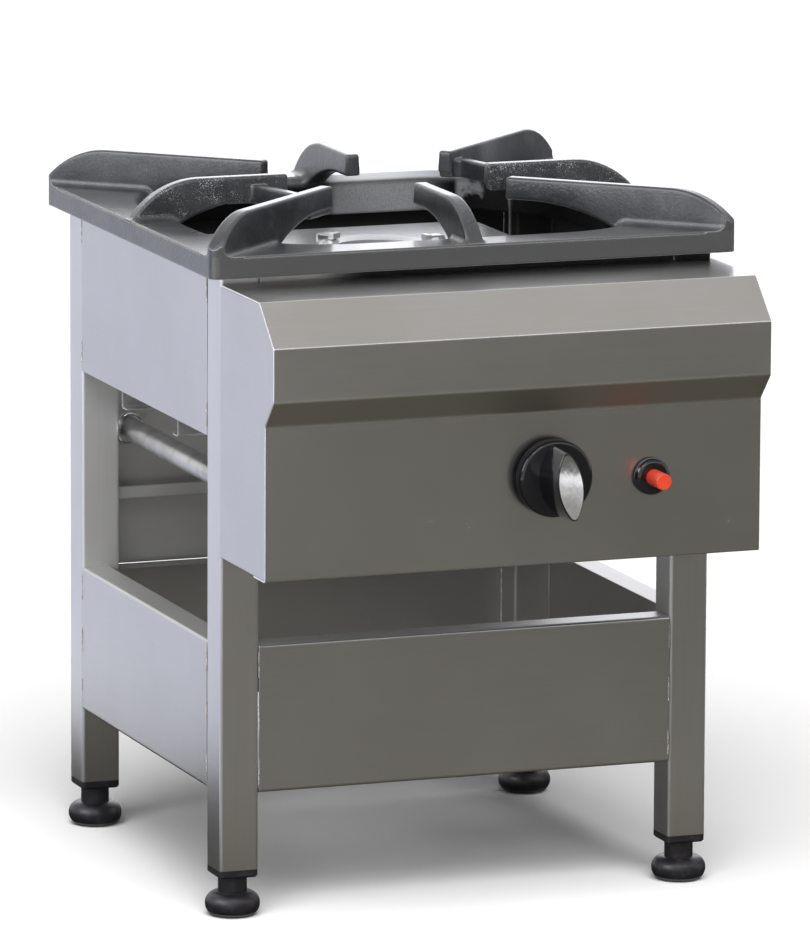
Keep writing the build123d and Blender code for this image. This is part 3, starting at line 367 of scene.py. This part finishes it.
def turned_metal(name, dark, light, gloss):
    """Turned or drawn metal: fine rings and a tarnish that varies."""
    finish = Finish(name, Metallic=1.0)
    tarnish = finish.noise(even(60.0), 4.0, 0.6)
    rings = finish.noise((300.0, 2600.0, 300.0), 2.0)
    colour = finish.mix(tarnish.ramp(0.3, 0.7), dark, light)
    return finish.set(Base_Color=colour, Roughness=gloss + 0.14 * tarnish + 0.03 * rings,
                      Normal=finish.bump(rings, 0.000002))


def black_plastic(name, front, domed=False):
    """Moulded black, polished in front of a depth; a domed piece swells towards its middle."""
    finish = Finish(name, IOR=1.10, Coat_IOR=1.55, Coat_Roughness=0.05)
    haze = finish.noise(even(70.0), 3.0)
    swell = 0.00003 * haze
    if domed:
        low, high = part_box("knob")
        across = finish.along("X") - (low.x + high.x) / 2
        up = finish.along("Z") - (low.z + high.z) / 2
        swell = swell - 5.0 * (across * across + up * up)
    polish_and_painted_sheen = 1 - finish.along("Y").ramp(front, front + 0.002)
    colour = finish.mix(haze, (0.003, 0.003, 0.004, 1.0), (0.007, 0.007, 0.009, 1.0))
    return finish.set(Base_Color=colour, Roughness=0.16 + 0.10 * haze, Coat_Weight=polish_and_painted_sheen,
                      Normal=finish.bump(swell, 1.0))


def badge_metal(name):
    """Bright plated insert, dished so that its lower half mirrors the light above."""
    finish = Finish(name, Metallic=1.0)
    low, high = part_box("knob_insert")
    across = finish.along("X") - (low.x + high.x) / 2
    up = finish.along("Z") - (low.z + high.z) / 2
    ripple = finish.noise((160.0, 160.0, 90.0), 2.0)
    dish = 7.5 * up * up + 9.0 * across * across - 0.50 * up + 0.0004 * ripple
    tarnish = finish.noise(even(60.0), 4.0, 0.6)
    colour = finish.mix(tarnish.ramp(0.3, 0.7), grey(0.40), grey(0.50))
    return finish.set(Base_Color=colour, Roughness=0.16 + 0.10 * tarnish, Normal=finish.bump(dish, 1.0))


def black_rubber(name):
    """Satin moulded feet, dusty in places."""
    finish = Finish(name)
    dust = finish.noise(even(140.0), 5.0, 0.65)
    grain = finish.noise(even(1500.0), 2.0)
    colour = finish.mix(dust.ramp(0.5, 0.8), (0.010, 0.009, 0.012, 1.0), (0.035, 0.033, 0.036, 1.0))
    return finish.set(Base_Color=colour, Roughness=0.26 + 0.25 * dust, Normal=finish.bump(grain, 0.00004))


def red_plastic(name):
    finish = Finish(name, IOR=1.5)
    haze = finish.noise(even(160.0), 3.0)
    colour = finish.mix(haze, (0.56, 0.034, 0.012, 1.0), (0.70, 0.058, 0.020, 1.0))
    return finish.set(Base_Color=colour, Roughness=0.24 + 0.12 * haze, Normal=finish.bump(haze, 0.00002))


def white_ceramic(name):
    finish = Finish(name, IOR=1.55)
    soot_and_painted_shade = finish.noise(even(260.0), 4.0, 0.6)
    colour = finish.mix(soot_and_painted_shade.ramp(0.45, 0.75), (0.30, 0.28, 0.25, 1.0), (0.10, 0.09, 0.08, 1.0))
    return finish.set(Base_Color=colour, Roughness=0.35 + 0.2 * soot_and_painted_shade)


def wire_sleeve(name):
    """Braided glass sleeve over the leads."""
    finish = Finish(name)
    braid = finish.node("ShaderNodeTexMagic", {"turbulence_depth": 2},
                        {"Vector": finish.place, "Scale": 700.0, "Distortion": 1.0}, 1)
    colour = finish.mix(braid, (0.03, 0.03, 0.03, 1.0), (0.11, 0.10, 0.09, 1.0))
    return finish.set(Base_Color=colour, Roughness=0.6 + 0.2 * braid, Normal=finish.bump(braid, 0.00015))


def weld_metal(name):
    """Brushed-off bead with straw and blue heat tint."""
    finish = Finish(name, Metallic=1.0)
    tint = finish.noise(even(300.0), 3.0)
    colour = finish.mix(tint.ramp(0.35, 0.65), (0.36, 0.34, 0.32, 1.0), (0.62, 0.61, 0.61, 1.0))
    return finish.set(Base_Color=colour, Roughness=0.30 + 0.2 * tint)


def shape_tree(name, sizes):
    """A geometry tree with named inputs; returns it with its inputs as values."""
    group = bpy.data.node_groups.new(name, "GeometryNodeTree")
    group.interface.new_socket("Geometry", in_out="INPUT", socket_type="NodeSocketGeometry")
    for size, kind in sizes.items():
        group.interface.new_socket(size, in_out="INPUT", socket_type=kind)
    group.interface.new_socket("Geometry", in_out="OUTPUT", socket_type="NodeSocketGeometry")
    tree = Tree(group)
    given = group.nodes.new("NodeGroupInput")
    return tree, {socket.name: Value(tree, socket) for socket in given.outputs if socket.name}


def end_tree(tree, shape, finish):
    """Joins up what a tree made, smooths it and gives it its material."""
    whole = tree.node("GeometryNodeRealizeInstances", sockets={"Geometry": shape})
    smooth = tree.node("GeometryNodeSetShadeSmooth", sockets={"Geometry": whole})
    painted = tree.node("GeometryNodeSetMaterial", sockets={"Geometry": smooth, "Material": finish})
    last = tree.tree.nodes.new("NodeGroupOutput")
    tree.feed(last.inputs[0], painted)


def bead_tree():
    """Beads along every line of a mesh, each a little different."""
    number = "NodeSocketFloat"
    sizes = {"Pitch": number, "Width": number, "Seed": "NodeSocketInt", "Finish": "NodeSocketMaterial"}
    tree, given = shape_tree("weld_beads", sizes)
    line = tree.node("GeometryNodeMeshToCurve", sockets={"Mesh": given["Geometry"]})
    spaced = tree.node("GeometryNodeResampleCurve", {"mode": "LENGTH"},
                       {"Curve": line, "Length": given["Pitch"]})
    tangent = tree.node("GeometryNodeInputTangent")
    turned = tree.node("FunctionNodeAlignRotationToVector", {"axis": "Z"}, {"Vector": tangent})
    bead = tree.node("GeometryNodeMeshIcoSphere", sockets={"Radius": given["Width"], "Subdivisions": 2})
    swell = tree.node("FunctionNodeRandomValue", {"data_type": "FLOAT"},
                      {2: 0.75, 3: 1.25, "Seed": given["Seed"]}, 1)
    sockets = {"Points": spaced, "Instance": bead, "Rotation": turned, "Scale": swell}
    beads = tree.node("GeometryNodeInstanceOnPoints", sockets=sockets)
    end_tree(tree, beads, given["Finish"])
    return tree.tree


def thread_tree():
    """A thread: a three-sided ridge wound round a shaft, then set in its place."""
    number = "NodeSocketFloat"
    sizes = {"Radius": number, "Length": number, "Pitch": number, "Ridge": number, "Steps": "NodeSocketInt",
             "Place": "NodeSocketVector", "Turn": "NodeSocketRotation", "Finish": "NodeSocketMaterial"}
    tree, given = shape_tree("thread", sizes)
    turns = given["Length"] / given["Pitch"]
    sockets = {"Resolution": given["Steps"], "Rotations": turns, "Start Radius": given["Radius"],
               "End Radius": given["Radius"], "Height": given["Length"]}
    helix = tree.node("GeometryNodeCurveSpiral", sockets=sockets)
    sockets = {"Resolution": 3, "Radius": given["Ridge"]}
    ridge = tree.node("GeometryNodeCurvePrimitiveCircle", sockets=sockets)
    wound = tree.node("GeometryNodeCurveToMesh",
                      sockets={"Curve": helix, "Profile Curve": ridge, "Fill Caps": True})
    placed = tree.node("GeometryNodeTransform", sockets={
        "Geometry": wound, "Translation": given["Place"], "Rotation": given["Turn"]})
    end_tree(tree, placed, given["Finish"])
    return tree.tree


def made_by(tree, name, body, values, start=None):
    """Runs a geometry tree on a mesh and keeps the result as a plain piece on a body."""
    carrier = bpy.data.objects.new(name + "_source", start or bpy.data.meshes.new(name + "_source"))
    bpy.context.scene.collection.objects.link(carrier)
    modifier = carrier.modifiers.new("shape", "NODES")
    modifier.node_group = tree
    for item in tree.interface.items_tree:
        if item.in_out == "INPUT" and item.name in values:
            modifier[item.identifier] = values[item.name]
    bpy.context.view_layer.update()
    evaluated = carrier.evaluated_get(bpy.context.evaluated_depsgraph_get())
    mesh = bpy.data.meshes.new_from_object(evaluated)
    piece = bpy.data.objects.new(name, mesh)
    bpy.context.scene.collection.objects.link(piece)
    bpy.data.objects.remove(carrier)
    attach(piece, body)
    return piece


def lines_mesh(name, runs):
    """A mesh of separate straight lines."""
    points = [point for run in runs for point in run]
    mesh = bpy.data.meshes.new(name)
    mesh.from_pydata(points, [(2 * i, 2 * i + 1) for i in range(len(runs))], [])
    return mesh


def stitch_runs(x, y, low, high, count):
    """Short upright runs spread between two heights."""
    step = (high - low - weld_run) / (count - 1)
    starts = [low + step * i for i in range(count)]
    return [((x, y, start), (x, y, start + weld_run)) for start in starts]


def weld_lines():
    """Where the aprons and panels are stitched to the legs; the front rail and the back have full seams."""
    runs = []
    low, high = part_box("apron_front")
    for x in (low.x, high.x):
        runs += stitch_runs(x, low.y, low.z + weld_inset, high.z - weld_inset, 3)
    for node in ("apron_rear", "rear_panel", "front_rail"):
        low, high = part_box(node)
        y = low.y + seam_depth if node == "front_rail" else high.y - seam_depth
        bottom = max(low.z, high.z - full_seam)
        for reach in seam_rows:
            for x in (low.x - reach, high.x + reach):
                runs.append(((x, y, bottom), (x, y, high.z)))
    for sheet, count in (("apron", 3), ("side_panel", 2)):
        for side in ("left", "right"):
            low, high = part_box(f"{sheet}_{side}")
            face = low.x if side == "left" else high.x
            for y in (low.y, high.y):
                runs += stitch_runs(face, y, low.z + weld_inset, high.z - weld_inset, count)
    return runs


def make_welds(finish):
    values = {"Pitch": weld_pitch, "Width": weld_width, "Seed": weld_seed, "Finish": finish}
    made_by(bead_tree(), "weld_stitches", "stand", values,
            lines_mesh("weld_lines", weld_lines()))


def make_threads(finish):
    tree = thread_tree()
    shared = {"Ridge": thread_ridge, "Steps": thread_steps, "Finish": finish}
    for corner in ("front_left", "front_right", "rear_left", "rear_right"):
        low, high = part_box(f"foot_{corner}")
        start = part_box(f"foot_cap_{corner}")[0].z + thread_end
        middle = (low + high) / 2
        values = {"Radius": foot_thread_radius, "Length": high.z - start - thread_end,
                  "Pitch": foot_thread_pitch, "Place": (middle.x, middle.y, start), **shared}
        made_by(tree, f"foot_thread_{corner}", f"foot_{corner}", values)
    nut_low, nut_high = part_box("inlet_locknut")
    middle = (nut_low + nut_high) / 2
    start = nut_high.y + 2 * thread_end
    values = {"Radius": inlet_thread_radius, "Length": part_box("inlet_union")[1].y - start - thread_end,
              "Pitch": inlet_thread_pitch, "Place": (middle.x, start, middle.z),
              "Turn": (-pi / 2, 0.0, 0.0), **shared}
    made_by(tree, "inlet_thread", "stand", values)


def make_camera():
    forward = Vector((sin(camera_yaw) * cos(camera_pitch), cos(camera_yaw) * cos(camera_pitch),
                      -sin(camera_pitch)))
    right = Vector((cos(camera_yaw), -sin(camera_yaw), 0.0))
    up = right.cross(forward)
    rolled_right = right * cos(camera_roll) + up * sin(camera_roll)
    rolled_up = up * cos(camera_roll) - right * sin(camera_roll)
    turn = Matrix((rolled_right, rolled_up, -forward)).transposed().to_4x4()
    camera = bpy.data.objects.new("camera", bpy.data.cameras.new("camera"))
    camera.data.lens = camera_lens
    camera.data.clip_end = 100.0
    camera.matrix_world = Matrix.Translation(camera_place) @ turn
    bpy.context.scene.collection.objects.link(camera)
    bpy.context.scene.camera = camera


def seen_directly(tree):
    """1 for what the camera sees, straight or in metal and glass, 0 for light that scatters."""
    rays = tree.tree.nodes.new("ShaderNodeLightPath").outputs
    found = [Value(tree, rays[name]) for name in ("Is Camera Ray", "Is Glossy Ray", "Is Transmission Ray")]
    return found[0].most(found[1]).most(found[2])


def flat_mesh(name, corners):
    mesh = bpy.data.meshes.new(name)
    mesh.from_pydata(corners, [], [range(len(corners))])
    piece = bpy.data.objects.new(name, mesh)
    bpy.context.scene.collection.objects.link(piece)
    return piece


def make_floor():
    reach = 9.0
    corners = [(-reach, -reach, 0.0), (reach, -reach, 0.0), (reach, reach, 0.0), (-reach, reach, 0.0)]
    floor = flat_mesh("floor", corners)
    material = bpy.data.materials.new("floor")
    material.use_nodes = True
    material.node_tree.nodes.clear()
    tree = Tree(material.node_tree)
    matt = tree.node("ShaderNodeBsdfDiffuse", sockets={"Color": grey(floor_shade)})
    glow = tree.node("ShaderNodeEmission", sockets={"Strength": floor_lift * seen_directly(tree)})
    both = tree.node("ShaderNodeAddShader", sockets={0: matt, 1: glow})
    tree.node("ShaderNodeOutputMaterial", sockets={"Surface": both})
    floor.data.materials.append(material)


def make_card(name, colour, corners):
    """A studio card that only shows in reflections."""
    card = flat_mesh(name, corners)
    for ray in ("camera", "diffuse", "transmission", "volume_scatter", "shadow"):
        setattr(card, "visible_" + ray, False)
    material = bpy.data.materials.new(name)
    material.use_nodes = True
    material.node_tree.nodes.clear()
    tree = Tree(material.node_tree)
    glow = tree.node("ShaderNodeEmission", sockets={"Color": (*colour, 1.0), "Strength": 1.0})
    tree.node("ShaderNodeOutputMaterial", sockets={"Surface": glow})
    card.data.materials.append(material)


def make_key():
    """A broad soft light from the front and above; the open floor under it is white."""
    key = bpy.data.objects.new("key", bpy.data.lights.new("key", "SUN"))
    key.data.angle = key_spread
    key.data.energy = pi * (1 - card_shade * world_fill) / (card_shade * sin(key_height))
    key.visible_glossy = False
    level = cos(key_height)
    toward = Vector((sin(camera_yaw) * level, cos(camera_yaw) * level, -sin(key_height)))
    key.matrix_world = toward.to_track_quat("-Z", "Y").to_matrix().to_4x4()
    bpy.context.scene.collection.objects.link(key)


def make_world():
    world = bpy.data.worlds.new("studio")
    world.use_nodes = True
    tree = Tree(world.node_tree)
    ground = tree.tree.nodes["Background"]
    ground.inputs["Color"].default_value = (1.0, 1.0, 1.0, 1.0)
    tree.feed(ground.inputs["Strength"], world_fill + (1 - world_fill) * seen_directly(tree))
    bpy.context.scene.world = world


def floor_card(name, colour, outline, level=card_level):
    """A card that lies just over the floor."""
    make_card(name, colour, [(x, y, level) for x, y in outline])


def oblong(left, front, right, back):
    """Corners of a card that lies square to the stove."""
    return [(left, front), (right, front), (right, back), (left, back)]


def make_cards():
    """What the steel mirrors: the floor in front and at the sides, the room behind, the lights above."""
    floor_tone = (0.21, 0.20, 0.175)
    floor_card("front_floor_card", floor_tone, [(0.2, -4.0), (0.9, -4.0), (0.35, -0.30), (-0.6, -0.30)])
    floor_card("far_floor_card", (0.165, 0.158, 0.138),
               [(0.9, -4.0), (5.0, -4.0), (5.0, -0.30), (0.35, -0.30)])
    make_card("front_wall_card", floor_tone,
              [(0.2, -3.5, 0.0), (5.0, -3.5, 0.0), (5.0, -3.5, 2.0), (0.2, -3.5, 2.0)])
    floor_card("under_hood_card", (0.15, 0.14, 0.11), oblong(-0.30, -0.30, 0.9, -0.12))
    floor_card("under_card", (0.05, 0.047, 0.04), oblong(-0.30, -0.12, 0.5, 0.7))
    floor_card("left_floor_card", (0.76, 0.79, 0.93), oblong(-4.5, -0.2, -0.35, 5.0))
    shade = [(-0.50, -0.2), (-0.20, -0.2), (-0.20, 0.55), (-0.305, 0.55), (-0.305, 0.29), (-0.50, 0.52)]
    floor_card("left_shade_card", (0.05, 0.047, 0.042), shade, shade_level)
    make_card("top_card", (0.62, 0.595, 0.565),
              [(-1.5, -1.6, 2.0), (2.0, -1.6, 2.0), (2.0, 0.6, 2.0), (-1.5, 0.6, 2.0)])
    make_card("strip_card", (2.2, 2.2, 2.25),
              [(-1.6, -2.4, 2.1), (2.6, -2.4, 2.1), (2.6, -2.9, 1.75), (-1.6, -2.9, 1.75)])
    make_card("back_card", (2.6, 2.6, 2.75),
              [(-0.5, 4.0, 0.75), (3.2, 4.0, 0.75), (3.2, 4.0, 2.0), (-0.5, 4.0, 2.0)])
    make_card("window_card", (22.0, 22.0, 23.0),
              [(-0.91, -1.465, 1.50), (-0.15, -1.25, 1.79), (-0.15, -1.25, 1.93), (-0.91, -1.465, 1.64)])
    floor_card("near_left_card", (0.30, 0.30, 0.32), oblong(-2.0, -2.2, -0.35, -0.2))
    floor_card("far_left_card", (2.5, 2.5, 2.65), oblong(-4.5, -3.0, -2.05, -0.2))
    make_card("left_wall_card", (6.0, 6.0, 6.3),
              [(-2.2, -1.9, 0.75), (-2.2, 0.2, 0.75), (-2.2, 0.2, 2.2), (-2.2, -1.9, 2.2)])
    floor_card("right_floor_card", (0.25, 0.25, 0.28), oblong(0.5, -0.28, 5.0, 3.5))
    make_card("right_wall_card", (0.25, 0.25, 0.28),
              [(3.0, -0.4, 0.0), (3.0, 3.0, 0.0), (3.0, 3.0, 1.8), (3.0, -0.4, 1.8)])


def make_stage():
    make_camera()
    make_world()
    make_floor()
    make_key()
    make_cards()


def dress(material, *names):
    """Gives CAD pieces their finish."""
    for name in names:
        slots = nodes[name].data.materials
        slots.clear()
        slots.append(material)


def dress_stove():
    corners = ("front_left", "front_right", "rear_left", "rear_right")
    dress(satin_steel("front_sheet_steel", 0, 0.56, 0.30, with_soot_and_shade=True), "apron_front", "apron_rear",
          "rear_panel", "front_rail")
    dress(satin_steel("box_sheet_steel", 0, 0.58, 0.25, box="control_box_front"), "control_box_front")
    dress(satin_steel("side_sheet_steel", 1, 0.56, 0.30, with_soot_and_shade=True), "apron_left", "apron_right",
          "side_panel_left", "side_panel_right")
    dress(satin_steel("cheek_sheet_steel", 1, 0.56, 0.30), "control_box_cheek_left",
          "control_box_cheek_right")
    dress(satin_steel("leg_tube_steel", 2, 0.64, 0.30, with_soot_and_shade=True),
          *[f"leg_{corner}" for corner in corners])
    dress(satin_steel("inner_sheet_steel", 1, 0.44, 0.36, with_soot_and_shade=True), "burner_support",
          "plate_strap_left", "plate_strap_right", "injector_bracket")
    dress(satin_steel("bracket_steel", 1, 0.44, 0.36), "sensor_bracket", "electrode_bracket")
    dress(satin_steel("plate_steel", 0, 0.42, 0.24, tint=-0.03, metal=0.5), "burner_plate", "plate_ring")
    dress(turned_metal("polished_metal", grey(0.76), grey(0.90), 0.08), "cheek_screws", "inlet_union")
    dress(turned_metal("clip_metal", grey(0.62), grey(0.80), 0.26), "ring_clips")
    dress(badge_metal("badge_metal"), "knob_insert")
    dress(cast_pan("cast_pan_support"), "pan_support")
    dress(burner_iron("burner_casting"), "burner_body", "burner_crown")
    tube = turned_metal("drawn_steel", grey(0.44), grey(0.60), 0.24)
    dress(tube, "inlet_pipe", "manifold_pipe", "front_elbow", "manifold_plug", "burner_bolt",
          "air_shutter", "valve_spindle", "valve_push_rod")
    dress(turned_metal("burnt_probe", grey(0.10, 0.02), grey(0.20, 0.02), 0.40), "flame_sensor")
    dress(turned_metal("turned_brass", (0.50, 0.36, 0.15, 1.0), (0.72, 0.56, 0.28, 1.0), 0.24), "gas_valve",
          "feed_nuts", "injector_holder", "injector", "inlet_locknut")
    dress(turned_metal("copper_tube", (0.42, 0.20, 0.12, 1.0), (0.66, 0.38, 0.25, 1.0), 0.26), "feed_tube")
    dress(black_rubber("moulded_foot"), *[f"foot_{corner}" for corner in corners],
          *[f"foot_cap_{corner}" for corner in corners])
    dress(black_plastic("moulded_knob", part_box("knob")[1].y - knob_skirt, domed=True), "knob")
    bezel_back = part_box("igniter_body")[0].y + igniter_bezel
    dress(black_plastic("moulded_black", bezel_back), "igniter_body", "igniter_nut")
    dress(red_plastic("moulded_red"), "igniter_button")
    dress(white_ceramic("glazed_ceramic"), "spark_electrode")
    dress(wire_sleeve("wire_sleeve"), "sensor_lead", "spark_lead")
    make_welds(weld_metal("weld_bead"))
    make_threads(tube)


dress_stove()
make_stage()
bpy.context.scene.view_settings.view_transform = "Standard"
